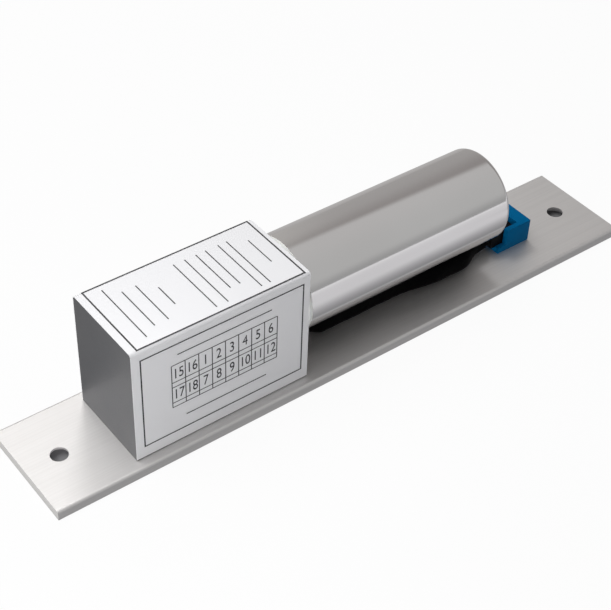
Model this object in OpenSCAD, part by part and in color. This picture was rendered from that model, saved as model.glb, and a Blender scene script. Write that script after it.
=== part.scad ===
// Electric drop bolt lock: a push solenoid lies along a flat face plate and, through a bell crank
// in a box housing, drives a round bolt out through the plate.
// Frame: origin at the centre of the plate's outer face, +X along the plate from the housing
// towards the connector, +Z from the outer face towards the can. The bolt moves along -Z.

/* [Face plate] */
// Length of the face plate
plate_l = 205; // [200:1:240]
// Width of the face plate
plate_w = 35; // [32:0.5:45]
// Thickness of the face plate
plate_t = 3; // [2.5:0.1:4]
// Radius along the two long inner edges of the plate
plate_edge_r = 0.9; // [0.3:0.1:1.2]
// Distance between the two fixing holes
mount_pitch = 184; // [180:1:190]
// Diameter of a fixing hole
mount_hole_d = 5.2; // [4:0.1:6]
// Diameter of a fixing hole's countersink at the outer face
mount_csk_d = 9.4; // [8:0.1:10]

/* [Housing] */
// Distance from the plate's end to the housing
housing_inset = 26.1; // [24:0.1:27]
// Room between the bolt guide and the housing's end wall
end_room = 5.4; // [3:0.1:9]
// Width of the housing
housing_w = 28; // [26.6:0.1:31]
// Height of the housing above the plate
housing_h = 38.4; // [37.5:0.1:42]
// Wall of the housing
housing_wall = 2; // [1.4:0.1:2.4]
// Radius along the two long top edges of the housing
housing_edge_r = 0.9; // [0.4:0.1:1.4]
// Diameter of a screw boss in a corner of the housing
boss_d = 5.6; // [5:0.1:6]
// Height of a screw boss
boss_h = 10; // [8:0.5:11]
// Thickness of the wrapped label
label_t = 0.15; // [0.1:0.05:0.2]
// Distance from the plate up to the label's lower edges
label_lift = 0.3; // [0.1:0.1:2]

/* [Bolt] */
// Diameter of the bolt
bolt_d = 16; // [14:0.5:16.5]
// How far the bolt travels
bolt_throw = 16; // [12:0.5:16]
// How far the drawn-in bolt lies below the plate's outer face
bolt_recess = 0.5; // [0.2:0.1:1]
// Chamfer round the bolt's nose
bolt_nose = 1.2; // [0.5:0.1:2]
// Distance from the cross pin to the bolt's top
bolt_head = 5; // [4:0.5:6]
// Diameter of the two link pins
link_pin_d = 3; // [2.5:0.1:3.2]
// Height of the bolt guide above the plate
guide_h = 6; // [4:0.5:6.5]
// Wall of the bolt guide
guide_wall = 2; // [1.5:0.1:2.4]
// Diameter of the bolt guide's flange
guide_flange_d = 24.4; // [22.6:0.1:24.4]

/* [Crank] */
// Distance from the pivot to the bolt's axis
crank_reach = 16; // [15.5:0.5:17]
// Distance from the pivot up to the push rod's axis
crank_rise = 7.8; // [7.2:0.1:8]
// Thickness of the crank
crank_t = 5; // [4:0.1:5.4]
// Metal on each side of a crank slot
crank_rim = 1.4; // [1.2:0.1:1.6]
// Diameter of the crank's hub
crank_hub_d = 9; // [8:0.1:9.6]
// Diameter of the pivot pin
pivot_d = 4; // [3:0.1:4.4]
// Thickness of the bracket's sheet
bracket_t = 1.6; // [1.2:0.1:2]

/* [Solenoid] */
// Outside diameter of the can
can_d = 29; // [28.5:0.1:30]
// Length of the can
can_l = 73.9; // [66:0.1:80]
// Wall of the can
can_wall = 1.2; // [0.8:0.1:1.4]
// Radius round the can's closed end
can_end_r = 1.8; // [1.5:0.1:2.5]
// Height of the can's axis above the plate
axis_h = 24.1; // [23.5:0.1:25]
// Thickness of the collar between the housing and the can
collar_t = 1; // [0.8:0.1:3]
// Diameter of the pole piece's threaded nose
nose_d = 14; // [12:0.5:14]
// Thickness of the pole piece's nut
nut_t = 4; // [3:0.1:4.2]
// Diameter of the plunger
plunger_d = 11.8; // [10.5:0.1:12.2]
// Diameter of the push rod
rod_d = 4; // [3:0.1:4.5]
// Wall of the plunger's brass sleeve
sleeve_wall = 0.5; // [0.4:0.1:0.8]
// Wall of the bobbin's tube and flanges
bobbin_wall = 1.2; // [0.8:0.1:1.5]
// Thickness of the front and rear yoke discs
yoke_t = 3; // [2:0.1:3.5]
// Wire of the return spring
spring_wire_d = 0.8; // [0.5:0.1:0.9]
// Mean diameter of the return spring
spring_d = 6.4; // [6:0.1:6.8]

/* [Electronics] */
// Width of the board's shrink sleeve at its wide end
wrap_w = 12.2; // [9:0.1:14]
// Width of the shrink sleeve over the board's slim part
wrap_slim_w = 7; // [6:0.1:9]
// Height of the board's shrink sleeve
wrap_h = 7; // [6:0.1:8]
// Wall of the shrink sleeve
wrap_wall = 0.7; // [0.4:0.1:0.9]
// Length of the shrink sleeve's taper towards the coil leads
wrap_front = 10; // [6:1:15]
// Length over which the shrink sleeve widens
wrap_flare = 12; // [8:1:16]
// Length of the shrink sleeve's wide end
wrap_wide_l = 9; // [8:0.5:14]
// Length of the shrink sleeve's taper towards the connector
wrap_rear = 8; // [6:1:9]
// Thickness of the control board
board_t = 1.6; // [1:0.1:2]
// Length of the connector along the plate
socket_l = 12.6; // [11:0.1:16]
// Width of the connector
socket_w = 10; // [9:0.1:12]
// Height of the connector
socket_h = 7.8; // [7:0.1:9]
// Wall of the connector's sides and floor
socket_wall = 1.5; // [1.2:0.1:1.8]
// Thickness of the connector's end block
socket_end = 4.1; // [3:0.1:5]
// Distance from the can's closed end to the connector
socket_gap = 7; // [6:0.1:10]
// Length of the shrink sleeve's neck round the connector's leads
wrap_neck = 4.5; // [3:0.1:6]
// Bare stretch of the leads between the neck and the plug
lead_gap = 3.2; // [2.4:0.1:5]
// Diameter of one coil lead
lead_d = 1.3; // [1:0.1:1.4]
// Diameter of one lead in the connector's harness
wire_d = 1; // [0.8:0.1:1.1]
// Number of leads in the connector's harness
leads = 4; // [3:1:4]

/* [Hidden] */
$fn = 64;

// Small clearances, each side
run_play = 0.1;
side_play = 0.2;
link_play = 0.3;
hole_play = 0.3;
// Overrun that keeps a cut's end clear of the face that it breaks
cut = 1;

// Screws that hold the housing and the bracket from the outer face
screw_d = 3;
screw_head_d = 5.8;
screw_grip = 6;
screw_land = 0.25;

// Face plate and housing
plate_x0 = -plate_l / 2;
housing_x0 = plate_x0 + housing_inset;
axis_z = plate_t + axis_h;

// Linkage, from the bolt along to the pole piece's nose, which sets the housing's length. The link
// pins run on two straight lines, so the crank's slots keep one ratio.
swing = atan(bolt_throw / 2 / crank_reach);
stroke = bolt_throw * crank_rise / crank_reach;
arm_half = link_pin_d / 2 + link_play + crank_rim;
crank_web = 2 * (arm_half + crank_rim);
clevis_h = 6;
clevis_w = crank_t + 2 * side_play + 2 * 2.4;
clevis_gap = 2;
clevis_web = 3.2;
clevis_nose = 3.5;
nose_proud = 0.5;
bolt_x = housing_x0 + housing_wall + end_room + guide_flange_d / 2;
pivot_x = bolt_x + crank_reach;
pivot_z = axis_z - crank_rise;
rod_pin_x = pivot_x + stroke / 2;
clevis_slot_x = pivot_x + stroke + arm_half / cos(swing) + link_play
    - (crank_rise - clevis_h / 2) * tan(swing);
clevis_x1 = clevis_slot_x + clevis_web;
nose_x0 = clevis_x1 + clevis_gap;
bolt_pin_z = pivot_z + bolt_throw / 2;
bolt_top = bolt_pin_z + bolt_head;
bolt_slot_z = bolt_pin_z - bolt_d / 2 * tan(swing) - arm_half / cos(swing) - 2 * link_play;

housing_x1 = nose_x0 + nose_proud + nut_t + housing_wall;
housing_l = housing_x1 - housing_x0;
housing_top = plate_t + housing_h;
boss_set = housing_wall + boss_d / 2 - 0.6;
boss_xs = [housing_x0 + boss_set, housing_x1 - boss_set];
boss_y = housing_w / 2 - boss_set;

// Solenoid, from the housing's end wall outwards
can_x0 = housing_x1 + collar_t;
can_x1 = can_x0 + can_l;
can_bore = can_d - 2 * can_wall;
nut_rim = 2.5;
nut_flats = nose_d + 2 * nut_rim;
shoulder_rim = 2;
shoulder_d = nose_d + 2 * shoulder_rim;
shoulder_t = 2;
shoulder_x = can_x0 + yoke_t;
coil_x0 = shoulder_x + shoulder_t;
coil_x1 = can_x1 - can_wall - yoke_t;
sleeve_d = plunger_d + 2 * run_play;
core_d = sleeve_d;
bobbin_bore = sleeve_d + 2 * sleeve_wall;
bobbin_d = can_bore - 2 * hole_play;
winding_d = bobbin_d - 1.2;
lead_hole_z = axis_z - shoulder_d / 2 - lead_d - 0.2;
lead_y = lead_d / 2 + 0.15;
lead_bend = 1;
lead_x = can_x0 + lead_bend;
lead_slot_w = 2 * (lead_y + lead_d);
lead_slot_z = lead_hole_z + lead_d / 2;

// Plunger and spring: the gap left at rest is the stroke and a little more
air_gap = stroke + 0.3;
core_l = 20;
pole_x = coil_x0 + core_l;
plunger_x0 = pole_x + air_gap;
buffer_t = 2.8;
buffer_x = can_x1 - can_wall - buffer_t;
plunger_x1 = buffer_x - link_play;
rod_seat = 9;
spring_pocket = 8;
spring_x0 = pole_x - spring_pocket;

// Bracket under the crank
cheek_play = 0.9;
cheek_y = clevis_w / 2 + cheek_play;
cheek_rim = 2.8;
cheek_half = pivot_d / 2 + cheek_rim;
bracket_screw_gap = 1.6;
bracket_screw_inset = 0.6;
bracket_rim = 2.1;
bracket_screw_x = pivot_x + cheek_half + screw_d / 2 + bracket_screw_gap;
bracket_screw_y = cheek_y - screw_d / 2 - bracket_screw_inset;
bracket_x0 = pivot_x - cheek_half + bracket_t;
bracket_x1 = bracket_screw_x + screw_d / 2 + bracket_rim;

// Connector past the can's closed end, and the plug in it
socket_x0 = can_x1 + socket_gap;
socket_x1 = socket_x0 + socket_l;
plug_h = 4.6;
plug_play = 0.1;
latch_l = 5.4;
latch_w = 2.4;
latch_h = 0.8;
socket_in_w = socket_w - 2 * socket_wall;
contact_pitch = wire_d + 0.15;
plug_x0 = socket_x0 - 1.6;
plug_x1 = socket_x1 - socket_end - plug_play;
lead_z = plate_t + socket_wall + plug_h / 2;

// Board in its shrink sleeve, whose slim part fills the length between the coil leads and the wide end
wrap_r = 1.5;
wrap_z = plate_t + wrap_h / 2;
wrap_tip_w = lead_slot_w;
wrap_tip_h = lead_d + 1.4;
coil_lead_z = wrap_z + 1;
neck_d = leads * contact_pitch + 0.2;
neck_x1 = plug_x0 - lead_gap;
neck_x0 = neck_x1 - wrap_neck;
wrap_x0 = can_x0 + 3;
slim_x0 = wrap_x0 + wrap_front;
wide_x1 = neck_x0 - wrap_rear;
wide_x0 = wide_x1 - wrap_wide_l;
slim_x1 = wide_x0 - wrap_flare;
board_margin = wrap_wall + side_play;
board_inset = 2;
board_x0 = slim_x0 + board_inset;
board_l = wide_x0 - board_x0;
board_slim_w = wrap_slim_w - 2 * board_margin;
board_w = wrap_w - 2 * board_margin;
board_z = wrap_z - board_t;
chip_l = 5;
chip_w = 4;
driver_l = 6.5;
driver_w = 4.4;
diode_l = 4.3;
diode_w = 2.6;

// A solid of revolution's place: the local Z axis is laid along +X
module along_x(x, z = 0, y = 0) {
    translate([x, y, z]) rotate([0, 90, 0]) children();
}

// A flat outline in X and Z is drawn out along Y, centred on the mid plane
module across_y(t) {
    rotate([90, 0, 0]) linear_extrude(t, center = true) children();
}

// A cross-section in Y and Z is drawn out along X
module section_x(x, l) {
    translate([x, 0, 0]) rotate([90, 0, 90]) linear_extrude(l) children();
}

// A rectangle that stands on y = 0, with its two upper corners round
module round_top(w, h, r) {
    translate([-w / 2, 0]) square([w, h - r]);
    translate([-w / 2 + r, 0]) square([w - 2 * r, h]);
    for (s = [-1, 1]) translate([s * (w / 2 - r), h - r]) circle(r);
}

// A slot from the point a to the point b on the x axis
module slot(a, b, d) {
    translate([a, -d / 2]) square([b - a, d]);
    translate([a, 0]) circle(d = d);
    translate([b, 0]) circle(d = d);
}

// A countersunk hole whose wide end is at z = 0
module csk_hole(d, head_d, depth) {
    translate([0, 0, -cut]) cylinder(d = d, h = depth + 2 * cut);
    translate([0, 0, screw_land]) cylinder(d1 = head_d, d2 = d, h = (head_d - d) / 2);
    translate([0, 0, -cut]) cylinder(d = head_d, h = cut + screw_land);
}

// A countersunk machine screw with a cross recess, its head flush with z = 0
module csk_screw(l) {
    difference() {
        union() {
            cylinder(d = screw_d, h = l);
            translate([0, 0, screw_land])
                cylinder(d1 = screw_head_d, d2 = screw_d, h = (screw_head_d - screw_d) / 2);
            cylinder(d = screw_head_d, h = screw_land);
        }
        for (a = [0, 90]) rotate(a) cube([3, 0.7, 2.2], center = true);
    }
}

// Places of the four housing screws
module at_bosses() {
    for (x = boss_xs, s = [-1, 1]) translate([x, s * boss_y, 0]) children();
}

// Places of the two bracket screws
module at_bracket_screws() {
    for (s = [-1, 1]) translate([bracket_screw_x, s * bracket_screw_y, 0]) children();
}

module face_plate() {
    color("gainsboro") difference() {
        section_x(plate_x0, plate_l) round_top(plate_w, plate_t, plate_edge_r);
        for (s = [-1, 1]) translate([s * mount_pitch / 2, 0, 0])
            csk_hole(mount_hole_d, mount_csk_d, plate_t);
        at_bosses() csk_hole(screw_d, screw_head_d, plate_t);
        at_bracket_screws() csk_hole(screw_d, screw_head_d, plate_t);
        translate([bolt_x, 0, -cut]) cylinder(d = bolt_d + 2 * hole_play, h = plate_t + 2 * cut);
        translate([bolt_x, 0, plate_t / 2]) cylinder(d = bolt_d + 2 * guide_wall, h = plate_t);
    }
}

module housing() {
    inner_w = housing_w - 2 * housing_wall;
    color("dimgray") difference() {
        union() {
            difference() {
                translate([0, 0, plate_t]) section_x(housing_x0, housing_l)
                    round_top(housing_w, housing_h, housing_edge_r);
                translate([housing_x0 + housing_wall, -inner_w / 2, plate_t - cut])
                    cube([housing_l - 2 * housing_wall, inner_w, housing_h - housing_wall + cut]);
            }
            at_bosses() translate([0, 0, plate_t]) cylinder(d = boss_d, h = boss_h);
        }
        at_bosses() translate([0, 0, plate_t - cut]) cylinder(d = screw_d, h = screw_grip + 1.5 + cut);
        along_x(housing_x1 - housing_wall - cut, axis_z)
            cylinder(d = nose_d, h = housing_wall + 2 * cut);
    }
}

// The label is one printed sheet folded over the housing's front, top and back
module label() {
    h = housing_h - label_lift + label_t;
    color("white") translate([0, 0, plate_t + label_lift]) difference() {
        section_x(housing_x0, housing_l)
            round_top(housing_w + 2 * label_t, h, housing_edge_r + label_t);
        translate([0, 0, -cut]) section_x(housing_x0 - cut, housing_l + 2 * cut)
            round_top(housing_w, h - label_t + cut, housing_edge_r);
    }
}

module housing_screws() {
    color("silver") at_bosses() csk_screw(plate_t + screw_grip);
}

// The guide is a flanged bush let into the plate's back. Its two flats seat it between the
// housing's long walls.
module bolt_guide() {
    flats = housing_w - 2 * housing_wall - 2 * side_play;
    color("goldenrod") translate([bolt_x, 0, 0]) difference() {
        union() {
            translate([0, 0, plate_t / 2]) cylinder(d = bolt_d + 2 * guide_wall, h = plate_t / 2);
            intersection() {
                union() {
                    translate([0, 0, plate_t]) cylinder(d = bolt_d + 2 * guide_wall, h = guide_h);
                    translate([0, 0, plate_t]) cylinder(d = guide_flange_d, h = 1.5);
                }
                translate([-guide_flange_d, -flats / 2, plate_t]) cube([2 * guide_flange_d, flats, guide_h]);
            }
        }
        cylinder(d = bolt_d + 2 * run_play, h = plate_t + guide_h + cut);
    }
}

// The bracket is one folded strip: a base on the plate and a cheek on each side of the crank
module crank_bracket() {
    color("silver") difference() {
        union() {
            translate([bracket_x0, -cheek_y, plate_t])
                cube([bracket_x1 - bracket_x0, 2 * cheek_y, bracket_t]);
            for (s = [-1, 1]) translate([0, s * (cheek_y + bracket_t / 2), 0])
                across_y(bracket_t) {
                    translate([pivot_x - cheek_half, plate_t])
                        square([2 * cheek_half, pivot_z - plate_t]);
                    translate([pivot_x, pivot_z]) circle(cheek_half);
                }
        }
        translate([pivot_x, 0, pivot_z]) rotate([90, 0, 0])
            cylinder(d = pivot_d, h = 2 * (cheek_y + bracket_t + cut), center = true);
        at_bracket_screws() translate([0, 0, plate_t - cut])
            cylinder(d = screw_d, h = bracket_t + 2 * cut);
    }
}

module bracket_screws() {
    color("silver") at_bracket_screws() csk_screw(plate_t + bracket_t);
}

// A headed pin with a groove for its clip
module pivot_pin() {
    reach = cheek_y + bracket_t;
    color("gray") translate([pivot_x, -reach, pivot_z]) rotate([-90, 0, 0]) difference() {
        union() {
            cylinder(d = pivot_d, h = 2 * reach + 1.6);
            translate([0, 0, -1]) cylinder(d = pivot_d + 2, h = 1);
        }
        translate([0, 0, 2 * reach]) difference() {
            cylinder(d = pivot_d + cut, h = 0.7);
            cylinder(d = pivot_d - 0.8, h = 0.7);
        }
    }
}

module pivot_clip() {
    color("dimgray") translate([pivot_x, cheek_y + bracket_t, pivot_z]) rotate([-90, 0, 0])
        linear_extrude(0.7) difference() {
            circle(d = pivot_d + 3);
            circle(d = pivot_d - 0.8);
            translate([0, -pivot_d / 2 + 0.6]) square([pivot_d, pivot_d - 1.2]);
        }
}

// The can is deep drawn, closed and rounded at its far end. A notch in its rim lets the leads out.
module solenoid_can() {
    r = can_d / 2;
    color("silver") difference() {
        along_x(can_x0, axis_z) rotate_extrude($fn = 96) difference() {
            union() {
                square([r, can_l - can_end_r]);
                square([r - can_end_r, can_l]);
                translate([r - can_end_r, can_l - can_end_r]) circle(can_end_r);
            }
            translate([0, -cut]) square([r - can_wall, can_l - can_wall + cut]);
            translate([-can_d, -cut]) square([can_d, can_l + 2 * cut]);
        }
        lead_slot(lead_x + lead_bend, axis_z - can_bore / 2 + cut);
    }
}

// Slot for the coil leads, open below, from the can's rim to x and up to z
module lead_slot(x, z) {
    translate([can_x0 - cut, -lead_slot_w / 2, axis_z - can_d])
        cube([x - can_x0 + cut, lead_slot_w, z - axis_z + can_d]);
}

module front_collar() {
    color("ivory") along_x(housing_x1, axis_z) difference() {
        cylinder(d = can_d, h = collar_t, $fn = 96);
        translate([0, 0, -cut]) cylinder(d = nose_d, h = collar_t + 2 * cut);
    }
}

module front_yoke() {
    color("gray") difference() {
        along_x(can_x0, axis_z) cylinder(d = can_bore, h = yoke_t, $fn = 96);
        along_x(can_x0 - cut, axis_z) cylinder(d = nose_d, h = yoke_t + 2 * cut);
        lead_slot(shoulder_x + cut, lead_slot_z);
    }
}

// The fixed pole: threaded nose, shoulder, and core with a pocket for the spring
module pole_piece() {
    color("darkgray") difference() {
        union() {
            along_x(nose_x0, axis_z) cylinder(d = nose_d, h = shoulder_x - nose_x0);
            along_x(shoulder_x, axis_z) cylinder(d = shoulder_d, h = shoulder_t);
            along_x(shoulder_x, axis_z) cylinder(d = core_d, h = pole_x - shoulder_x);
        }
        along_x(nose_x0 - cut, axis_z) cylinder(d = rod_d + 2 * run_play, h = pole_x - nose_x0 + 2 * cut);
        along_x(spring_x0, axis_z) cylinder(d = spring_d + spring_wire_d + 2 * side_play, h = spring_pocket + cut);
    }
}

module pole_nut() {
    color("silver") along_x(housing_x1 - housing_wall - nut_t, axis_z) difference() {
        intersection() {
            cylinder(d = nut_flats / cos(30), h = nut_t, $fn = 6);
            cylinder(d1 = nut_flats + 1.6, d2 = nut_flats + 1.6 + 2 * nut_t, h = nut_t);
        }
        translate([0, 0, -cut]) cylinder(d = nose_d, h = nut_t + 2 * cut);
    }
}

module bobbin() {
    l = coil_x1 - coil_x0;
    color("ivory") difference() {
        union() {
            along_x(coil_x0, axis_z) cylinder(d = bobbin_bore + 2 * bobbin_wall, h = l);
            for (x = [coil_x0, coil_x1 - bobbin_wall])
                along_x(x, axis_z) cylinder(d = bobbin_d, h = bobbin_wall, $fn = 96);
        }
        along_x(coil_x0 - cut, axis_z) cylinder(d = bobbin_bore, h = l + 2 * cut);
        for (s = [-1, 1]) along_x(coil_x0 - cut, lead_hole_z, s * lead_y)
            cylinder(d = lead_d, h = bobbin_wall + cut);
    }
}

module coil_winding() {
    l = coil_x1 - coil_x0 - 2 * bobbin_wall;
    color("sienna") along_x(coil_x0 + bobbin_wall, axis_z) difference() {
        cylinder(d = winding_d, h = l);
        translate([0, 0, -cut]) cylinder(d = bobbin_bore + 2 * bobbin_wall, h = l + 2 * cut);
    }
}

module plunger_sleeve() {
    color("goldenrod") along_x(coil_x0, axis_z) difference() {
        cylinder(d = bobbin_bore, h = coil_x1 + yoke_t - coil_x0);
        translate([0, 0, -cut]) cylinder(d = sleeve_d, h = coil_x1 + yoke_t - coil_x0 + 2 * cut);
    }
}

module rear_yoke() {
    color("gray") along_x(coil_x1, axis_z) difference() {
        cylinder(d = can_bore, h = yoke_t, $fn = 96);
        translate([0, 0, -cut]) cylinder(d = bobbin_bore, h = yoke_t + 2 * cut);
    }
}

module end_buffer() {
    color("dimgray") along_x(buffer_x, axis_z) cylinder(d = sleeve_d, h = buffer_t);
}

// Two coil leads leave the front flange, turn down in the yoke's slot and run back to the board
module coil_leads() {
    bend_x = lead_x + lead_bend;
    color("black") for (s = [-1, 1]) translate([0, s * lead_y, 0]) {
        along_x(bend_x, lead_hole_z) cylinder(d = lead_d, h = coil_x0 + bobbin_wall - bend_x);
        translate([bend_x, 0, lead_hole_z - lead_bend]) rotate([-90, 0, 0]) rotate(180)
            rotate_extrude(angle = 90) translate([lead_bend, 0]) circle(d = lead_d);
        translate([lead_x, 0, coil_lead_z + lead_bend])
            cylinder(d = lead_d, h = lead_hole_z - coil_lead_z - 2 * lead_bend);
        translate([bend_x, 0, coil_lead_z + lead_bend]) rotate([-90, 0, 0]) rotate(90)
            rotate_extrude(angle = 90) translate([lead_bend, 0]) circle(d = lead_d);
        along_x(bend_x, coil_lead_z) cylinder(d = lead_d, h = slim_x0 + wrap_wall - bend_x);
    }
}

// Round corners of the shrink sleeve's section of width w, less a margin all round
module wrap_corners(w, m = 0, r = wrap_r) {
    for (x = [-1, 1], y = [-1, 1])
        translate([x * (w / 2 - m - r), y * (wrap_h / 2 - m - r)]) circle(r, $fn = 32);
}

// Section of the shrink sleeve of width w, less a margin all round
module wrap_section(w, m = 0) {
    r = wrap_r - m / 2;
    wrap_corners(w, m, r);
    square([w - 2 * m - 2 * r, wrap_h - 2 * m], center = true);
    square([w - 2 * m, wrap_h - 2 * m - 2 * r], center = true);
}

// Heat-shrink sleeve round the control board, drawn down on to the leads at both ends
module board_sleeve() {
    slice = 0.25;
    step = 0.04;
    color("#181818") difference() {
        union() {
            hull() {
                translate([0, 0, coil_lead_z]) section_x(wrap_x0, slice)
                    for (s = [-1, 1]) translate([s * (wrap_tip_w - wrap_tip_h) / 2, 0])
                        circle(d = wrap_tip_h, $fn = 32);
                translate([0, 0, wrap_z]) section_x(slim_x0, slice) wrap_corners(wrap_slim_w, step);
            }
            translate([0, 0, wrap_z]) section_x(slim_x0, slim_x1 - slim_x0) wrap_section(wrap_slim_w);
            translate([0, 0, wrap_z]) hull() {
                section_x(slim_x1 - slice, slice) wrap_corners(wrap_slim_w, step);
                section_x(wide_x0, slice) wrap_corners(wrap_w, step);
            }
            translate([0, 0, wrap_z]) section_x(wide_x0, wrap_wide_l) wrap_section(wrap_w);
            hull() {
                translate([0, 0, wrap_z]) section_x(wide_x1 - slice, slice) wrap_corners(wrap_w, step);
                translate([0, 0, lead_z]) section_x(neck_x0, slice) circle(d = neck_d - 2 * step, $fn = 32);
            }
            along_x(neck_x0, lead_z) cylinder(d = neck_d, h = neck_x1 - neck_x0);
        }
        translate([0, 0, wrap_z]) section_x(slim_x0 + wrap_wall, wide_x0 - slim_x0)
            wrap_section(wrap_slim_w, wrap_wall);
        translate([0, 0, wrap_z]) section_x(wide_x0, wrap_wide_l - wrap_wall)
            wrap_section(wrap_w, wrap_wall);
        for (s = [-1, 1]) along_x(wrap_x0 - cut, coil_lead_z, s * lead_y)
            cylinder(d = lead_d, h = wrap_front + wrap_wall + 2 * cut);
    }
}

// The board is slim under the can's front and wide at the connector's end
module control_board() {
    wide_l = wrap_wide_l - wrap_wall - side_play;
    color("darkgreen") translate([board_x0, 0, board_z]) {
        translate([0, -board_slim_w / 2, 0]) cube([board_l + side_play, board_slim_w, board_t]);
        translate([board_l + side_play, -board_w / 2, 0]) cube([wide_l - side_play, board_w, board_t]);
    }
}

// Controller, drive transistor and diode, as [place along the board, length, width, height], and the
// round capacitor
module driver_parts() {
    room = wrap_h / 2 - board_margin;
    color("black") translate([board_x0, 0, board_z + board_t]) {
        for (c = [[0.05, chip_l, chip_w, room / 2], [0.24, driver_l, driver_w, room],
            [0.46, diode_l, diode_w, room * 0.8]])
            translate([c[0] * board_l, -c[2] / 2, 0]) cube([c[1], c[2], c[3]]);
        translate([board_l + wrap_wide_l / 2, 0, 0]) cylinder(d = board_w / 2, h = room);
    }
}

// Reed contact in its glass, on leads at the board's edge
module reed_switch() {
    glass_d = 1.8;
    glass_l = 5.5;
    tail = 0.8;
    x = board_x0 + 0.64 * board_l;
    y = board_slim_w / 2 - glass_d / 2 - side_play;
    z = board_z + board_t + glass_d / 2;
    color("seagreen") {
        along_x(x, z, y) cylinder(d = glass_d, h = glass_l);
        along_x(x - tail, z, y) cylinder(d = 0.5, h = glass_l + 2 * tail);
    }
}

// Leads leave the sleeve's neck side by side and run straight into the plug
module harness_leads() {
    color("#101010") for (i = [0 : leads - 1])
        along_x(neck_x1, lead_z, (i - (leads - 1) / 2) * contact_pitch)
            cylinder(d = wire_d, h = plug_x0 - neck_x1);
}

// Black plug pushed into the connector, with a latch rib on its top
module lead_plug() {
    w = socket_in_w - 2 * plug_play;
    z = plate_t + socket_wall;
    color("#141414") difference() {
        union() {
            translate([plug_x0, -w / 2, z]) cube([plug_x1 - plug_x0, w, plug_h]);
            translate([plug_x0, -latch_w / 2, z + plug_h]) cube([latch_l, latch_w, latch_h]);
        }
        contact_rods(plug_x1 - 4, 4 + cut);
    }
}

// Rows of round contacts, from x for the length l
module contact_rods(x, l) {
    for (i = [0 : leads - 1])
        along_x(x, lead_z, (i - (leads - 1) / 2) * contact_pitch) cylinder(d = 0.7, h = l, $fn = 24);
}

// Blue socket: an open trough with a thick end that holds the contacts
module connector_socket() {
    in_l = socket_l - socket_end;
    color("#0a5c96") difference() {
        translate([socket_x0, -socket_w / 2, plate_t]) cube([socket_l, socket_w, socket_h]);
        translate([socket_x0 - cut, -socket_in_w / 2, plate_t + socket_wall])
            cube([in_l + cut, socket_in_w, socket_h]);
        contact_rods(socket_x1 - socket_end - cut, cut + 2.5);
    }
}

module contact_pins() {
    color("gold") contact_rods(plug_x1 - 4, 4 + plug_play + 2.5);
}

// Compression spring in the pole's pocket, pushing on the plunger's front face
module return_spring() {
    l = plunger_x0 - spring_x0 - spring_wire_d;
    turns = 8;
    steps = 20;
    sides = 6;
    n = turns * steps;
    // The end turns lie flat, and the working turns share the rest of the length
    function rise(t) = t < 1 ? 0.06 * t : t > turns - 1 ? 1 - 0.06 * (turns - t)
        : 0.06 + 0.88 * (t - 1) / (turns - 2);
    points = [for (i = [0 : n], j = [0 : sides - 1]) let (a = i * 360 / steps, b = j * 360 / sides,
        r = spring_d / 2 + spring_wire_d / 2 * cos(b))
        [r * cos(a), r * sin(a), rise(i / steps) * l + spring_wire_d / 2 * (1 + sin(b))]];
    walls = [for (i = [0 : n - 1], j = [0 : sides - 1]) let (k = (j + 1) % sides)
        [i * sides + j, (i + 1) * sides + j, (i + 1) * sides + k, i * sides + k]];
    ends = [[for (j = [0 : sides - 1]) j], [for (j = [sides - 1 : -1 : 0]) n * sides + j]];
    color("lightgray") along_x(spring_x0, axis_z) polyhedron(points, concat(walls, ends), convexity = 8);
}

// The bolt is turned bar with a chamfered nose and a slotted top for the crank
module bolt() {
    color("silver") difference() {
        translate([bolt_x, 0, 0]) union() {
            translate([0, 0, bolt_recess]) cylinder(d1 = bolt_d - 2 * bolt_nose, d2 = bolt_d, h = bolt_nose);
            translate([0, 0, bolt_recess + bolt_nose])
                cylinder(d = bolt_d, h = bolt_top - bolt_recess - bolt_nose);
        }
        translate([bolt_x - bolt_d, -crank_t / 2 - side_play, bolt_slot_z])
            cube([2 * bolt_d, crank_t + 2 * side_play, bolt_top]);
        translate([bolt_x, 0, bolt_pin_z]) rotate([90, 0, 0])
            cylinder(d = link_pin_d, h = bolt_d + cut, center = true);
    }
}

module bolt_cross_pin() {
    color("gray") translate([bolt_x, 0, bolt_pin_z]) rotate([90, 0, 0])
        cylinder(d = link_pin_d, h = bolt_d - 0.6, center = true);
}

// Bell crank: the upper arm follows the push rod's pin and the side arm drives the bolt's pin.
// It is drawn at mid travel and turned back to the rest position.
module crank() {
    color("darkgray") translate([pivot_x, 0, pivot_z]) difference() {
        union() {
            across_y(crank_t) rotate(-swing) crank_plate();
            across_y(2 * (cheek_y - side_play)) circle(d = crank_hub_d);
        }
        across_y(4 * cheek_y) circle(d = pivot_d + 2 * run_play);
    }
}

// Outline of the crank's plate at mid travel
module crank_plate() {
    slot_d = link_pin_d + 2 * link_play;
    bolt_far = crank_reach / cos(swing) + link_play;
    rod_far = crank_rise / cos(swing) + link_play;
    difference() {
        union() {
            rotate(180) slot(0, bolt_far, 2 * arm_half);
            rotate(90) slot(0, rod_far, 2 * arm_half);
            polygon([[0, 0], [-crank_web, 0], [0, crank_web]]);
        }
        rotate(180) slot(crank_reach - link_play, bolt_far, slot_d);
        rotate(90) slot(crank_rise - link_play, rod_far, slot_d);
    }
}

module plunger() {
    color("darkgray") along_x(plunger_x0, axis_z) difference() {
        cylinder(d = plunger_d, h = plunger_x1 - plunger_x0);
        translate([0, 0, -cut]) cylinder(d = rod_d, h = rod_seat + cut);
    }
}

module push_rod() {
    color("silver") along_x(clevis_slot_x, axis_z) cylinder(d = rod_d, h = plunger_x0 + rod_seat - clevis_slot_x);
}

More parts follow.
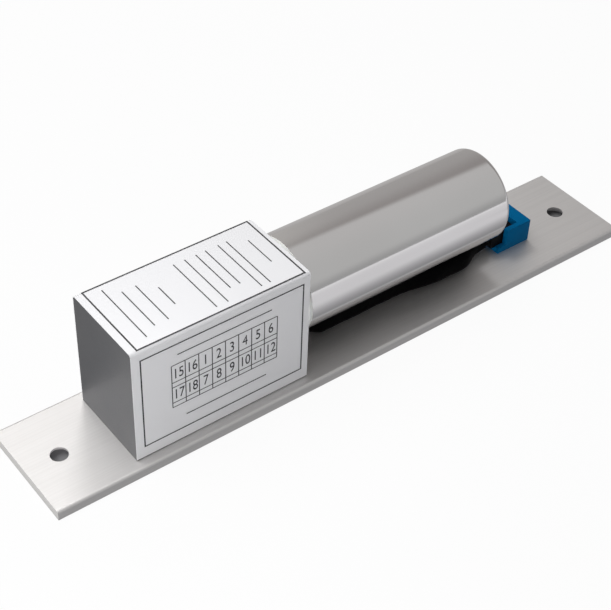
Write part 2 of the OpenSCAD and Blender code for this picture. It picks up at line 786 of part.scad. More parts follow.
// Fork on the push rod's end
module rod_clevis() {
    x0 = rod_pin_x - clevis_nose;
    slot_w = crank_t + 2 * side_play;
    color("lightgray") difference() {
        union() {
            translate([x0 + clevis_h / 2, 0, axis_z]) across_y(clevis_w) {
                circle(d = clevis_h);
                translate([0, -clevis_h / 2]) square([clevis_x1 - x0 - clevis_h / 2, clevis_h]);
            }
        }
        translate([x0 - cut, -slot_w / 2, axis_z - clevis_h])
            cube([clevis_slot_x - x0 + cut, slot_w, 2 * clevis_h]);
        translate([rod_pin_x, 0, axis_z]) rotate([90, 0, 0])
            cylinder(d = link_pin_d, h = clevis_w + cut, center = true);
        along_x(clevis_slot_x - cut, axis_z) cylinder(d = rod_d, h = clevis_web + 2 * cut);
    }
}

module clevis_pin() {
    color("gray") translate([rod_pin_x, 0, axis_z]) rotate([90, 0, 0])
        cylinder(d = link_pin_d, h = clevis_w, center = true);
}

face_plate();
housing();
label();
housing_screws();
bolt_guide();
crank_bracket();
bracket_screws();
pivot_pin();
pivot_clip();
solenoid_can();
front_collar();
front_yoke();
pole_piece();
pole_nut();
bobbin();
coil_winding();
plunger_sleeve();
rear_yoke();
end_buffer();
coil_leads();
board_sleeve();
control_board();
driver_parts();
reed_switch();
harness_leads();
lead_plug();
connector_socket();
contact_pins();
return_spring();
bolt();
bolt_cross_pin();
crank();
plunger();
push_rod();
rod_clevis();
clevis_pin();
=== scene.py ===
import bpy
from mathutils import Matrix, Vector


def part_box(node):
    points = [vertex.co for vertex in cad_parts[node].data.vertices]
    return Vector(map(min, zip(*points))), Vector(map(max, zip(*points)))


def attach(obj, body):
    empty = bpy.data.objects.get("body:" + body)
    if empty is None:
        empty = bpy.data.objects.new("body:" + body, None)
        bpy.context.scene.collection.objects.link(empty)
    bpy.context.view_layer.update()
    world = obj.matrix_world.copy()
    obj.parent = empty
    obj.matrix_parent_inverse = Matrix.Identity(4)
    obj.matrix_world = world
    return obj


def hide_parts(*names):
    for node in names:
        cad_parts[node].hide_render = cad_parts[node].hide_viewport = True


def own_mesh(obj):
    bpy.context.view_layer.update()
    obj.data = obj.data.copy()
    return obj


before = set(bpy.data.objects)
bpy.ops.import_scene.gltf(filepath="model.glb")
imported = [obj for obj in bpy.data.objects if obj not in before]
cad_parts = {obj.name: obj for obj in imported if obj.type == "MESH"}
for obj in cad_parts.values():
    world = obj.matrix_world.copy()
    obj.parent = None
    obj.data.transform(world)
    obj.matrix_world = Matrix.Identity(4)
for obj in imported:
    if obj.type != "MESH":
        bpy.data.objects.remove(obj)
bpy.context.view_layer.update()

from math import cos, pi, radians, sin

import bpy
from mathutils import Matrix, Vector

mm = 0.001

# The camera stands at the photograph's angle. It was fitted to the plate's corners and the housing's
# edges, with the plate at its real length, so its lens and distance are the photograph's own.
view_turn = radians(-38.51)
view_lift = radians(41.52)
view_roll = radians(2.287)
view_distance = 439.874 * mm
view_right = -7.811 * mm
view_up = 6.805 * mm
image_width = 611
focal_pixels = 1477.655
sensor_width = 36
towards_camera = Vector(
    (sin(view_turn) * cos(view_lift), -cos(view_turn) * cos(view_lift), sin(view_lift)))
level_right = Vector((0, 0, 1)).cross(towards_camera).normalized()
level_up = towards_camera.cross(level_right)
image_right = cos(view_roll) * level_right + sin(view_roll) * level_up
image_up = cos(view_roll) * level_up - sin(view_roll) * level_right
camera_place = towards_camera * view_distance + level_right * view_right + level_up * view_up
camera_turn = Matrix((image_right, image_up, towards_camera)).transposed().to_4x4()
bpy.ops.object.camera_add()
camera = bpy.context.object
camera.data.sensor_width = sensor_width
camera.data.lens = sensor_width * focal_pixels / image_width
camera.matrix_world = Matrix.Translation(camera_place) @ camera_turn
bpy.context.scene.camera = camera
bpy.context.scene.view_settings.view_transform = "Standard"


# Floor, backdrop and light: a pale sheet that carries painted shade, a soft grey room and four soft boxes.
# A Signal wraps a node's output, so that a pattern reads as plain arithmetic. A Tree adds a node by its
# type, its settings and its socket values, and a Finish is the tree of one material.
class Signal:
    def __init__(self, tree, output):
        self.tree = tree
        self.output = output

    def math(self, operation, *values):
        return self.tree.add("ShaderNodeMath", {"operation": operation}, self, *values)

    def __add__(self, other):
        return self.math("ADD", other)

    def __radd__(self, other):
        return self.math("ADD", other)

    def __sub__(self, other):
        return self.math("SUBTRACT", other)

    def __rsub__(self, other):
        return self.tree.add("ShaderNodeMath", {"operation": "SUBTRACT"}, other, self)

    def __mul__(self, other):
        return self.math("MULTIPLY", other)

    def __rmul__(self, other):
        return self.math("MULTIPLY", other)

    def step(self, low, high):
        """0 below low, 1 above high, and smooth between them."""
        settings = {"interpolation_type": "SMOOTHSTEP"}
        return self.tree.add("ShaderNodeMapRange", settings, self, low, high, 0.0, 1.0)


class Tree:
    def __init__(self, node_tree):
        self.nodes = node_tree.nodes
        self.links = node_tree.links

    def put(self, socket, value):
        if isinstance(value, Signal):
            self.links.new(value.output, socket)
        elif isinstance(value, tuple) and socket.type == "RGBA":
            socket.default_value = (*value, 1)
        elif value is not None:
            socket.default_value = value

    def add(self, kind, settings, *values, output=0, **named):
        node = self.nodes.new(kind)
        for name, value in settings.items():
            setattr(node, name, value)
        for socket, value in zip(node.inputs, values):
            self.put(socket, value)
        for name, value in named.items():
            self.put(node.inputs[name.replace("_", " ")], value)
        return Signal(self, node.outputs[output])

    def place(self, x=1.0, y=1.0, z=1.0):
        point = self.add("ShaderNodeTexCoord", {}, output="Object")
        return self.add("ShaderNodeMapping", {}, Vector=point, Scale=(x, y, z))

    def noise(self, scale, detail=2.0, stretch=(1.0, 1.0, 1.0)):
        return self.add(
            "ShaderNodeTexNoise", {}, Vector=self.place(*stretch), Scale=scale, Detail=detail)

    def mix(self, share, first, second):
        """The first colour where share is 0, and the second where it is 1."""
        unused = (None,) * 5
        return self.add(
            "ShaderNodeMix", {"data_type": "RGBA"}, share, *unused, first, second, output=2)

    def bump(self, height, depth, strength):
        return self.add("ShaderNodeBump", {}, Strength=strength, Distance=depth, Height=height)


class Finish(Tree):
    def __init__(self, name, colour=None, **constants):
        self.material = bpy.data.materials.new(name)
        self.material.use_nodes = True
        super().__init__(self.material.node_tree)
        self.shader = self.nodes["Principled BSDF"]
        if colour:
            self.shader.inputs["Base Color"].default_value = (*colour, 1)
        for socket, value in constants.items():
            self.shader.inputs[socket.replace("_", " ")].default_value = value

    def feed(self, **signals):
        for socket, value in signals.items():
            self.put(self.shader.inputs[socket.replace("_", " ")], value)

    def coat(self, *nodes):
        """Gives the finish to CAD nodes."""
        for name in nodes:
            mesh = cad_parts[name].data
            mesh.materials.clear()
            mesh.materials.append(self.material)


floor_size = 3.2
bpy.ops.object.select_all(action="DESELECT")
bpy.ops.mesh.primitive_plane_add(size=floor_size)
floor = bpy.context.object
floor.name = "studio_floor"
paper = Finish("floor_paper", (0.8, 0.8, 0.8), Roughness=0.9)
seen = paper.add("ShaderNodeLightPath", {}, output="Is Camera Ray")
mirrored = paper.add("ShaderNodeLightPath", {}, output="Is Glossy Ray")
along = paper.add("ShaderNodeSeparateXYZ", {}, paper.place(), output="X")
across = paper.add("ShaderNodeSeparateXYZ", {}, paper.place(), output="Y")
forward = across * -1
off_plate_end = along.math("ABSOLUTE").step(0.102, 0.1025)
off_plate_side = across.math("ABSOLUTE").step(0.017, 0.0175)
under_plate = (1 - off_plate_end) * (1 - off_plate_side)
skirt_end = forward.step(0.0205, 0.0225)
in_front = forward.step(0.014, 0.062)
far_front = forward.step(0.05, 0.6)
behind = across.step(0.017, 0.06)
past_end = along.step(0.10, 0.13) * (1 - forward.step(0.04, 0.12))
off_left = (along * -1).step(0.1025, 0.1028) * (1 - behind)

# Painted shade and painted reflection: the metal mirrors the paper in these tones, set place by place,
# darker near the object and under the plate and lighter further out, and the camera sees the paper white
tone = paper.mix(skirt_end, (0.42, 0.42, 0.43), (0.24, 0.24, 0.25))
tone = paper.mix(in_front, tone, (0.78, 0.77, 0.80))
tone = paper.mix(far_front, tone, (1.0, 0.99, 1.02))
tone = paper.mix(past_end, tone, (0.38, 0.37, 0.38))
tone = paper.mix(behind, tone, (0.50, 0.485, 0.48))
tone = paper.mix(off_left, tone, (0.95, 0.95, 0.94))
painted_shade_under_plate = paper.mix(along.step(-0.05, 0.05), (0.6, 0.59, 0.61), (0.12, 0.12, 0.125))
tone = paper.mix(under_plate, tone, painted_shade_under_plate)
# Painted shadow: the paper's own colour is darkened under the plate, so that it shows dark through the
# plate's holes
paper.feed(Base_Color=paper.mix(under_plate, (0.8, 0.8, 0.8), (0.2, 0.2, 0.205)))
white = paper.add("ShaderNodeEmission", {}, Color=(1.0, 1.0, 1.0), Strength=1.0)
# Painted shade: an emission in the place-by-place tones, seen only in the metal's reflections
painted_floor_shade = paper.add("ShaderNodeEmission", {}, Color=tone, Strength=1.0)
lit = Signal(paper, paper.shader.outputs[0])
lit = paper.add("ShaderNodeMixShader", {}, seen * 0.94 * (1 - under_plate), lit, white)
lit = paper.add("ShaderNodeMixShader", {}, mirrored * 0.9, lit, painted_floor_shade)
paper.put(paper.nodes["Material Output"].inputs["Surface"], lit)
floor.data.materials.append(paper.material)

world = bpy.data.worlds.new("studio")
bpy.context.scene.world = world
world.use_nodes = True
sky = Tree(world.node_tree)
direction = sky.add("ShaderNodeTexCoord", {}, output="Generated")
side = sky.add("ShaderNodeSeparateXYZ", {}, direction, output="X")
depth = sky.add("ShaderNodeSeparateXYZ", {}, direction, output="Y")
height = sky.add("ShaderNodeSeparateXYZ", {}, direction, output="Z")
front_wall = sky.mix(depth.step(-0.9, 0.2), (0.55, 0.55, 0.55), (0.59, 0.58, 0.58))
front_wall = sky.mix((1 - height.step(0.0, 0.35)) * 0.7, front_wall, (0.34, 0.34, 0.345))
rear_right_wall = sky.mix(depth.step(0.3, 0.8), (0.34, 0.32, 0.315), (0.43, 0.415, 0.41))
rear_left_wall = sky.mix(depth.step(0.3, 0.8), (0.47, 0.455, 0.44), (0.64, 0.62, 0.60))
rear_wall = sky.mix(side.step(0.40, 0.52), rear_left_wall, rear_right_wall)
room = sky.mix((depth + 1.4 * side).step(0.92, 1.12), front_wall, rear_wall)
spread = sky.add("ShaderNodeLightPath", {}, output="Is Diffuse Ray")
room = sky.mix(spread, room, (0.136, 0.136, 0.144))
looked_at = sky.add("ShaderNodeLightPath", {}, output="Is Camera Ray")
room = sky.mix(looked_at, room, (1.0, 1.0, 1.0))
sky.put(sky.nodes["Background"].inputs["Color"], room)

# Each soft box has its place, what it points at, its size and its power
soft_boxes = (
    ("overhead", (-0.3, 0.12, 0.62), (-0.06, 0, 0), (0.5, 0.5), 3.4),
    ("rear_left", (-0.02, 0.40, 0.48), (-0.1, 0, 0), (0.16, 0.14), 0.2),
    ("rear_right", (0.16, 0.38, 0.52), (0.09, 0, 0), (0.14, 0.14), 0.4),
    ("front_left", (-0.20, -0.13, 0.10), (-0.07, 0, 0.02), (0.12, 0.12), 0.118),
)
for name, place, aim, size, power in soft_boxes:
    bpy.ops.object.light_add(type="AREA", location=place)
    lamp = bpy.context.object
    lamp.name = name
    lamp.data.shape = "RECTANGLE"
    lamp.data.size, lamp.data.size_y = size
    lamp.data.energy = power
    lamp.rotation_euler = (Vector(aim) - Vector(place)).to_track_quat("-Z", "Y").to_euler()

# Face plate: a stainless strip, brushed along its length on both faces. The two fixing holes and the
# housing's screw holes are countersunk from the outer face.
brushed = Finish("brushed_plate", Metallic=1.0, Roughness=0.52)
grain = brushed.noise(1.0, 3.0, (30, 5200, 5200))
streaks = brushed.noise(1.0, 3.0, (14, 1600, 1600))
brushed.feed(
    Base_Color=brushed.mix(streaks.step(0.3, 0.7), (0.61, 0.60, 0.592), (0.64, 0.63, 0.622)),
    Roughness=0.49 + 0.08 * grain,
    Normal=brushed.bump(grain, 0.00004, 0.35),
)
brushed.coat("face_plate")

# Housing: a cast box with a satin grey finish, open to the plate. Only its two ends stay bare, as the
# label covers the front, the top and the back.
cast = Finish("housing_satin", Metallic=0.85, Roughness=0.42)
grit = cast.noise(2600)
cast.feed(
    Base_Color=cast.mix(cast.noise(60), (0.115, 0.12, 0.13), (0.15, 0.15, 0.155)),
    Roughness=0.38 + 0.1 * grit,
    Normal=cast.bump(grit, 0.00003, 0.3),
)
cast.coat("housing")

# Label: one sheet of white printed film, folded over the housing's front, top and back. Black border
# lines, ruled lines and a table of plain numbers are printed on it.
film = Finish("label_film", (0.9, 0.9, 0.91), Roughness=0.38, Coat_Weight=0.15, Coat_Roughness=0.2)
film.feed(
    Base_Color=film.mix(film.noise(35), (0.86, 0.86, 0.875), (0.9, 0.9, 0.91)),
    Normal=film.bump(film.noise(900), 0.00002, 0.15),
)
film.coat("label")

ink = Finish("label_ink", (0.02, 0.02, 0.022), Roughness=0.5)
ink.feed(Base_Color=ink.mix(ink.noise(500), (0.012, 0.012, 0.014), (0.03, 0.03, 0.033)))
ink_rise = 0.03 * mm


def strip(left, right, bottom, top):
    """A flat strip of ink in a page's own millimetres, drawn on the plane z = 0."""
    bpy.ops.object.select_all(action="DESELECT")
    bpy.ops.mesh.primitive_plane_add(size=1)
    piece = bpy.context.object
    piece.scale = ((right - left) * mm, (top - bottom) * mm, 1)
    piece.location = ((left + right) / 2 * mm, (bottom + top) / 2 * mm, 0)
    bpy.ops.object.transform_apply()
    return piece


def border(left, right, bottom, top, line):
    """The four strips round a rectangle."""
    return [
        strip(left, right, bottom, bottom + line),
        strip(left, right, top - line, top),
        strip(left, left + line, bottom + line, top - line),
        strip(right - line, right, bottom + line, top - line),
    ]


def print_on(name, parts, page):
    """Joins the parts and lays them on one face of the label."""
    bpy.ops.object.select_all(action="DESELECT")
    for part in parts:
        part.select_set(True)
    bpy.context.view_layer.objects.active = parts[0]
    if len(parts) > 1:
        bpy.ops.object.join()
    piece = bpy.context.object
    piece.name = name
    piece.data.transform(page)
    piece.data.materials.clear()
    piece.data.materials.append(ink.material)
    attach(piece, "base")


label_low, label_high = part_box("label")
upright = Matrix.Rotation(pi / 2, 4, "X")
front_page = Matrix.Translation((0, label_low.y - ink_rise, 0)) @ upright
top_page = Matrix.Translation((0, 0, label_high.z + ink_rise))
front_line, top_line = 0.42, 0.48
front_left, front_right, front_foot, front_head = -73.9, -21.9, 6.9, 38.6
top_left, top_right, top_near, top_far = -74.2, -21.0, -13.5, 13.7
front_frame = border(front_left, front_right, front_foot, front_head, front_line)
print_on("front_border", front_frame, front_page)
print_on("top_border", border(top_left, top_right, top_near, top_far, top_line), top_page)

# The table has eight columns of equal width. Each of its two rows is a number cell over a narrow blank one
table_left, table_right = -64.6, -30.7
table_lines = (31.45, 25.3, 23.6, 18.0, 16.4)
table_head, table_foot = table_lines[0], table_lines[-1]
columns = 8
column = (table_right - table_left) / columns
half_line = 0.14
rules = []
for i in range(columns + 1):
    x = table_left + i * column
    rules.append(strip(x - half_line, x + half_line, table_foot, table_head))
for z in table_lines:
    rules.append(strip(table_left, table_right, z - half_line, z + half_line))
print_on("number_table", rules, front_page)

# A 4 keeps its plain outline, because its small counter would close under a heavier stroke
digit_height = 3.45
capital_share = 0.7
digit_narrowing = 0.72
stroke_growth = 0.02 * mm
number_rows = (
    (table_lines[1] + 1.3, (15, 16, 1, 2, 3, 4, 5, 6)),
    (table_lines[3] + 1.2, (17, 18, 7, 8, 9, 10, 11, 12)),
)
for foot, numbers in number_rows:
    for i, number in enumerate(numbers):
        bpy.ops.object.select_all(action="DESELECT")
        bpy.ops.object.text_add()
        figure = bpy.context.object
        figure.data.body = str(number)
        figure.data.align_x = "CENTER"
        figure.data.size = digit_height / capital_share * mm
        figure.data.offset = 0 if number == 4 else stroke_growth
        bpy.ops.object.convert(target="MESH")
        figure = bpy.context.object
        figure.scale = (digit_narrowing, 1, 1)
        figure.location = ((table_left + (i + 0.5) * column) * mm, foot * mm, 0)
        bpy.ops.object.transform_apply()
        print_on("number_%d" % number, [figure], front_page)

# Plain ruled lines fill the rest of the sheet. On the top each has its place along the housing
head_rule = strip(-62.6, -32.6, 34.5, 34.85)
foot_rule = strip(-60.4, -34.2, 11.5, 11.85)
print_on("front_rules", [head_rule, foot_rule], front_page)
top_rows = (
    (-69.2, -10.5, 11.5), (-65.2, -8, 8), (-61, -8, 8), (-56.4, -4, 4), (-48.2, -11.2, 9.5),
    (-44.6, -11.2, 9.5), (-41, -7, 9.5), (-37.9, -7, 9.5), (-33.8, -11.2, 9.5),
    (-31, -11.2, 9.5), (-25.8, -4.5, 6.5))
half_rule = 0.17
top_rules = [strip(x - half_rule, x + half_rule, near, far) for x, near, far in top_rows]
print_on("top_rules", top_rules, top_page)

# Solenoid can: stainless sheet, deep drawn and polished, closed and rounded at its far end. Faint
# turning lines run round it.
polished = Finish("polished_can", Metallic=1.0, Roughness=0.12)
lathe = polished.noise(1.0, 2.0, (2400, 40, 40))
polished.feed(
    Base_Color=polished.mix(polished.noise(30), (0.70, 0.69, 0.68), (0.76, 0.755, 0.75)),
    Roughness=0.07 + 0.05 * lathe,
    Normal=polished.bump(lathe, 0.00002, 0.1),
)
polished.coat("solenoid_can")

# Collar: a white nylon ring, turned, that sits between the housing and the can. It takes up the step
# between the two.
nylon = Finish("collar_nylon", (0.9, 0.89, 0.84), Roughness=0.35, Subsurface_Weight=0.1)
nylon.feed(Base_Color=nylon.mix(nylon.noise(80), (0.86, 0.85, 0.80), (0.93, 0.92, 0.88)))
nylon.coat("front_collar")

# Board sleeve: black heat-shrink film round the control board. It is laid flat under the can, drawn
# down on to the coil leads in front and on to the connector's leads behind, and bulges at the parts.
# Each row is a place along the plate, a width, a height and the middle's height, in millimetres.
sleeve_rows = (
    (-15.8, 4.1, 2.6, 7.5), (-15.0, 4.2, 2.7, 7.5), (-12.2, 4.4, 3.0, 7.3), (-9.0, 5.4, 4.6, 6.9),
    (-6.2, 6.8, 6.2, 6.3), (-4.4, 7.0, 6.9, 6.5), (2.0, 6.8, 6.7, 6.4), (4.6, 7.0, 6.95, 6.5),
    (11.4, 7.0, 6.95, 6.5), (13.6, 6.7, 6.5, 6.3), (19.0, 6.9, 6.6, 6.35), (23.4, 7.0, 6.8, 6.45),
    (27.4, 8.4, 6.7, 6.4), (32.0, 10.6, 6.8, 6.45), (35.6, 12.1, 6.9, 6.5), (38.0, 12.2, 7.0, 6.5),
    (43.0, 12.4, 7.0, 6.5), (47.8, 12.3, 6.9, 6.45), (50.4, 10.8, 6.4, 6.4), (52.4, 8.4, 5.7, 6.5),
    (54.4, 6.9, 5.2, 6.7), (56.8, 6.3, 5.0, 6.8), (59.6, 6.1, 4.9, 6.8))
sleeve_corner = 0.9 * mm
mouth_wall = 0.5 * mm
mouth_depth = 0.8 * mm
pucker_size = 5 * mm
pucker_depth = 0.35 * mm
first_x, first_width, first_height, first_z = sleeve_rows[0]
bpy.ops.object.select_all(action="DESELECT")
bpy.ops.mesh.primitive_plane_add(
    size=1, location=(first_x * mm, 0, first_z * mm), rotation=(0, -pi / 2, 0))
sleeve = bpy.context.object
sleeve.name = "shrink_sleeve"
sleeve.scale = (first_height * mm, first_width * mm, 1)
bpy.ops.object.transform_apply()
bpy.ops.object.mode_set(mode="EDIT")
bpy.ops.mesh.bevel(offset=sleeve_corner, segments=4, affect="VERTICES")
for (last_x, last_width, last_height, last_z), row in zip(sleeve_rows, sleeve_rows[1:]):
    row_x, row_width, row_height, row_z = row
    onward = ((row_x - last_x) * mm, 0, (row_z - last_z) * mm)
    bpy.ops.mesh.extrude_region_move(TRANSFORM_OT_translate={"value": onward})
    bpy.ops.transform.resize(
        value=(1, row_width / last_width, row_height / last_height),
        center_override=(row_x * mm, 0, row_z * mm))
bpy.ops.mesh.inset(thickness=mouth_wall)
bpy.ops.transform.translate(value=(-mouth_depth, 0, 0))
bpy.ops.mesh.select_all(action="SELECT")
bpy.ops.mesh.remove_doubles(threshold=0.001 * mm)
bpy.ops.mesh.normals_make_consistent(inside=False)
bpy.ops.object.mode_set(mode="OBJECT")
smoothing = sleeve.modifiers.new("smoothing", "SUBSURF")
smoothing.levels = smoothing.render_levels = 2
bpy.ops.object.modifier_apply(modifier="smoothing")
folds = bpy.data.textures.new("film_folds", "CLOUDS")
folds.noise_scale = pucker_size
puckers = sleeve.modifiers.new("puckers", "DISPLACE")
puckers.texture = folds
puckers.strength = pucker_depth
puckers.mid_level = 1
bpy.ops.object.modifier_apply(modifier="puckers")
bpy.ops.object.shade_smooth()
shrink = Finish("shrink_film", Roughness=0.45, Specular_IOR_Level=0.02)
wrinkle = shrink.noise(120, 3.0, (0.35, 1, 1))
shrink.feed(
    Base_Color=shrink.mix(wrinkle, (0.0005, 0.0005, 0.0006), (0.002, 0.002, 0.0022)),
    Roughness=0.35 + 0.2 * wrinkle,
    Normal=shrink.bump(wrinkle, 0.0006, 0.4),
)
sleeve.data.materials.append(shrink.material)
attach(sleeve, "base")
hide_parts("board_sleeve")

# Leads and black parts: insulated wire from the coil to the board and on to the plug, the board's
# moulded parts, and the rubber buffer that stops the plunger at rest.
sheath = Finish("lead_sheath", Roughness=0.5, Specular_IOR_Level=0.15)
sheath.feed(Base_Color=sheath.mix(sheath.noise(300), (0.008, 0.008, 0.009), (0.02, 0.02, 0.02)))
sheath.coat("coil_leads", "harness_leads", "driver_parts", "end_buffer")

# Connector socket: blue moulded plastic. A block is hollowed to a trough that is open at its top and
# at the side of the plug, its thick end is bored for the four contacts, and its edges are rounded.
socket_middle, socket_size = Vector((68.528, 0, 6.9)) * mm, Vector((12.9, 10.2, 7.8)) * mm
trough_middle, trough_size = Vector((65.578, 0, 9.4)) * mm, Vector((10, 7, 9.8)) * mm
notch_middle, notch_size = Vector((62.6, -4.5, 8.6)) * mm, Vector((5.2, 3, 7)) * mm
bore_pitch = 1.15 * mm
bore_places = [i * bore_pitch for i in (-1.5, -0.5, 0.5, 1.5)]
bore_radius = 0.36 * mm
bore_depth = 6 * mm
bore_middle_x, contact_height = 70.0 * mm, 6.8 * mm
socket_rounding = 0.22 * mm
bpy.ops.object.select_all(action="DESELECT")
bpy.ops.mesh.primitive_cube_add(size=1, location=socket_middle)
socket = bpy.context.object
socket.name = "blue_connector"
socket.scale = socket_size
bpy.ops.object.transform_apply()
cutters = []
for middle, size in ((trough_middle, trough_size), (notch_middle, notch_size)):
    bpy.ops.object.select_all(action="DESELECT")
    bpy.ops.mesh.primitive_cube_add(size=1, location=middle)
    cutter = bpy.context.object
    cutter.scale = size
    bpy.ops.object.transform_apply()
    cutters.append(cutter)
for y in bore_places:
    bpy.ops.object.select_all(action="DESELECT")
    bpy.ops.mesh.primitive_cylinder_add(
        vertices=24, radius=bore_radius, depth=bore_depth,
        location=(bore_middle_x, y, contact_height), rotation=(0, pi / 2, 0))
    cutters.append(bpy.context.object)
for cutter in cutters:
    bpy.context.view_layer.objects.active = socket
    cut = socket.modifiers.new("cut", "BOOLEAN")
    cut.operation = "DIFFERENCE"
    cut.object = cutter
    bpy.ops.object.modifier_apply(modifier="cut")
bpy.ops.object.select_all(action="DESELECT")
for cutter in cutters:
    cutter.select_set(True)
bpy.ops.object.delete()


def round_edges(piece, width):
    """Rounds a piece's sharp edges and shades the rest smooth."""
    piece.select_set(True)
    bpy.context.view_layer.objects.active = piece
    rounding = piece.modifiers.new("rounding", "BEVEL")
    rounding.width = width
    rounding.segments = 3
    rounding.limit_method = "ANGLE"
    rounding.angle_limit = radians(50)
    bpy.ops.object.modifier_apply(modifier="rounding")
    bpy.ops.object.shade_smooth_by_angle(angle=radians(35))


round_edges(socket, socket_rounding)
blue = Finish("blue_socket", Roughness=0.5, Specular_IOR_Level=0.03)
blue.feed(
    Base_Color=blue.mix(blue.noise(200), (0.0, 0.135, 0.33), (0.0, 0.16, 0.38)),
    Normal=blue.bump(blue.noise(1500), 0.00003, 0.2),
)
socket.data.materials.append(blue.material)
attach(socket, "base")
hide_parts("connector_socket")

# Lead plug: black moulded plastic, crimped on to the leads and pushed into the socket's trough. Its
# edges are rounded, and a latch rib stands on its top.
plug_middle, plug_size = Vector((65.428, 0, 6.8)) * mm, Vector((9.9, 6.8, 4.6)) * mm
rib_half_width = 1.2 * mm
rib_end = 65.9 * mm
rib_height = 0.8 * mm
lead_end_line = 61.9 * mm
plug_rounding = 0.3 * mm
bpy.ops.object.select_all(action="DESELECT")
bpy.ops.mesh.primitive_cube_add(size=1, location=plug_middle)
plug = bpy.context.object
plug.name = "black_plug"
plug.scale = plug_size
bpy.ops.object.transform_apply()
bpy.ops.object.mode_set(mode="EDIT")
for cut_place, cut_normal in (
        ((lead_end_line, 0, 0), (1, 0, 0)), ((rib_end, 0, 0), (1, 0, 0)),
        ((0, rib_half_width, 0), (0, 1, 0)), ((0, -rib_half_width, 0), (0, 1, 0))):
    bpy.ops.mesh.select_all(action="SELECT")
    bpy.ops.mesh.bisect(plane_co=cut_place, plane_no=cut_normal)
bpy.ops.mesh.select_all(action="DESELECT")
bpy.ops.object.mode_set(mode="OBJECT")
for face in plug.data.polygons:
    on_rib = abs(face.center.y) < rib_half_width and face.center.x < rib_end
    face.select = on_rib and face.normal.z > 0.9
bpy.ops.object.mode_set(mode="EDIT")
bpy.ops.mesh.select_mode(type="FACE")
bpy.ops.mesh.extrude_region_move(TRANSFORM_OT_translate={"value": (0, 0, rib_height)})
bpy.ops.mesh.select_all(action="SELECT")
bpy.ops.mesh.normals_make_consistent(inside=False)
bpy.ops.object.mode_set(mode="OBJECT")
round_edges(plug, plug_rounding)
moulded = Finish("plug_moulding", Roughness=0.5, Specular_IOR_Level=0.08)
moulded.feed(
    Base_Color=moulded.mix(moulded.noise(400), (0.003, 0.003, 0.0035), (0.008, 0.008, 0.009)),
    Normal=moulded.bump(moulded.noise(1500), 0.00003, 0.2),
)
plug.data.materials.append(moulded.material)
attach(plug, "base")
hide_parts("lead_plug")

# Plated steel parts: the housing's and the bracket's screws, the crank's bracket, the nut that holds
# the pole piece, and the push rod's fork. All have a bright zinc plate.
zinc = Finish("zinc_plate", Metallic=1.0, Roughness=0.3)
zinc.feed(Base_Color=zinc.mix(zinc.noise(250, 3.0), (0.55, 0.56, 0.58), (0.72, 0.73, 0.74)))
zinc.coat("housing_screws", "bracket_screws", "crank_bracket", "pole_nut", "rod_clevis")

# Ground steel parts: the bolt, the crank, the push rod, and the pins that join them. They slide or
# turn on each other, so they are ground and left bare.
ground = Finish("ground_steel", Metallic=1.0, Roughness=0.25)
ground.feed(Base_Color=ground.mix(ground.noise(400), (0.5, 0.5, 0.51), (0.62, 0.62, 0.63)))
ground.coat(
    "pivot_pin", "pivot_clip", "bolt_cross_pin", "clevis_pin", "push_rod", "bolt", "crank")

# Return spring: hard drawn steel wire, coiled round the push rod between the pole piece's pocket and
# the plunger. Its two ends are ground flat, and it shortens as the plunger is drawn in.
axis_height = 27.1 * mm
wire_radius = 0.4 * mm
coil_radius = 3.2 * mm
spring_turns = 8
spring_start, spring_end = -1.77 * mm, 14.22 * mm
bpy.ops.object.select_all(action="DESELECT")
bpy.ops.mesh.primitive_circle_add(
    vertices=14, radius=wire_radius, location=(spring_start, 0, coil_radius),
    rotation=(pi / 2, 0, 0))
spring = bpy.context.object
spring.name = "return_coil"
bpy.ops.object.transform_apply()
coiling = spring.modifiers.new("coiling", "SCREW")
coiling.axis = "X"
coiling.iterations = spring_turns
coiling.screw_offset = (spring_end - spring_start) / spring_turns
coiling.steps = coiling.render_steps = 36
coiling.use_merge_vertices = False
bpy.ops.object.modifier_apply(modifier="coiling")
bpy.ops.object.mode_set(mode="EDIT")
bpy.ops.mesh.select_all(action="SELECT")
bpy.ops.transform.translate(value=(0, 0, axis_height))
bpy.ops.mesh.fill_holes(sides=14)
for end, outward in ((spring_start, -1), (spring_end, 1)):
    bpy.ops.mesh.select_all(action="SELECT")
    bpy.ops.mesh.bisect(
        plane_co=(end, 0, 0), plane_no=(outward, 0, 0), use_fill=True, clear_outer=True,
        threshold=0.001 * mm)
bpy.ops.mesh.select_all(action="SELECT")
bpy.ops.mesh.normals_make_consistent(inside=False)
bpy.ops.object.mode_set(mode="OBJECT")
bpy.ops.object.shade_smooth_by_angle(angle=radians(40))
drawn = Finish("drawn_wire", Metallic=1.0, Roughness=0.28)
drawn.feed(Base_Color=drawn.mix(drawn.noise(500), (0.52, 0.52, 0.53), (0.66, 0.66, 0.67)))
spring.data.materials.append(drawn.material)
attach(spring, "base")
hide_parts("return_spring")
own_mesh(spring)

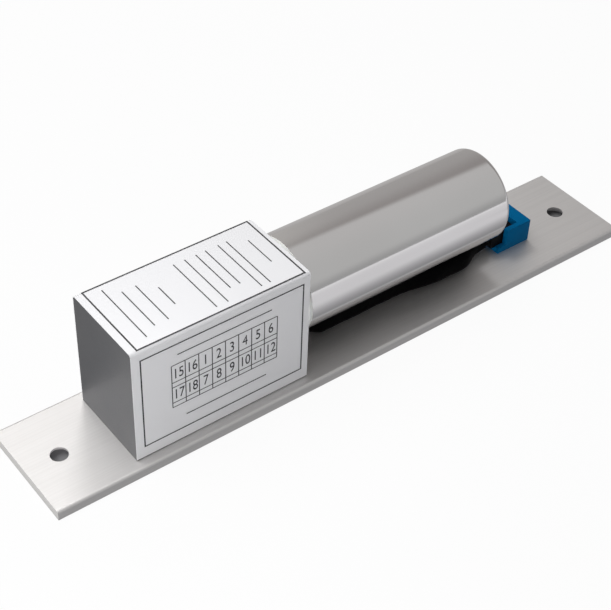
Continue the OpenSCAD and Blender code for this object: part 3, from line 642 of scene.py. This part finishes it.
# Brass parts: the bolt's turned guide in the plate, the thin sleeve that the plunger slides in, and
# the connector's contacts.
brass = Finish("turned_brass", Metallic=1.0, Roughness=0.28)
brass.feed(Base_Color=brass.mix(brass.noise(300), (0.62, 0.44, 0.18), (0.74, 0.55, 0.26)))
brass.coat("bolt_guide", "plunger_sleeve", "contact_pins")

# Iron of the magnet: the pole piece, the plunger and the discs at the coil's two ends are turned from
# soft iron, and carry the coil's field round through the can.
iron = Finish("turned_iron", Metallic=1.0, Roughness=0.35)
iron.feed(Base_Color=iron.mix(iron.noise(200), (0.36, 0.36, 0.37), (0.46, 0.46, 0.47)))
iron.coat("front_yoke", "rear_yoke", "pole_piece", "plunger")

# Bobbin: natural nylon, moulded in one piece with its two flanges. The coil is wound on it, and the
# brass sleeve fits its bore.
natural = Finish("bobbin_nylon", Roughness=0.5)
natural.feed(Base_Color=natural.mix(natural.noise(80), (0.74, 0.71, 0.60), (0.82, 0.79, 0.70)))
natural.coat("bobbin")

# Coil: enamelled copper wire, wound in even layers on the bobbin. The turns show as fine ridges
# across its length.
copper = Finish("wound_copper", Metallic=1.0, Roughness=0.3)
turns = copper.add(
    "ShaderNodeTexWave", {"bands_direction": "X"}, Vector=copper.place(), Scale=600.0)
copper.feed(
    Base_Color=copper.mix(turns, (0.35, 0.13, 0.05), (0.62, 0.28, 0.12)),
    Normal=copper.bump(turns, 0.0001, 0.5),
)
copper.coat("coil_winding")

# Control board: green printed laminate inside the sleeve. The driver parts and the leads are
# soldered to it.
laminate = Finish("board_laminate", Roughness=0.35)
laminate.feed(Base_Color=laminate.mix(laminate.noise(400), (0.01, 0.12, 0.05), (0.02, 0.2, 0.08)))
laminate.coat("control_board")

# Reed switch: a tube of clear green glass, sealed at both ends round its two reeds. It is held on its
# leads at the board's edge.
glass = Finish("reed_glass", (0.45, 0.70, 0.55), Roughness=0.08, Alpha=0.5)
glass.feed(Base_Color=glass.mix(glass.noise(200), (0.38, 0.62, 0.48), (0.5, 0.75, 0.6)))
glass.coat("reed_switch")
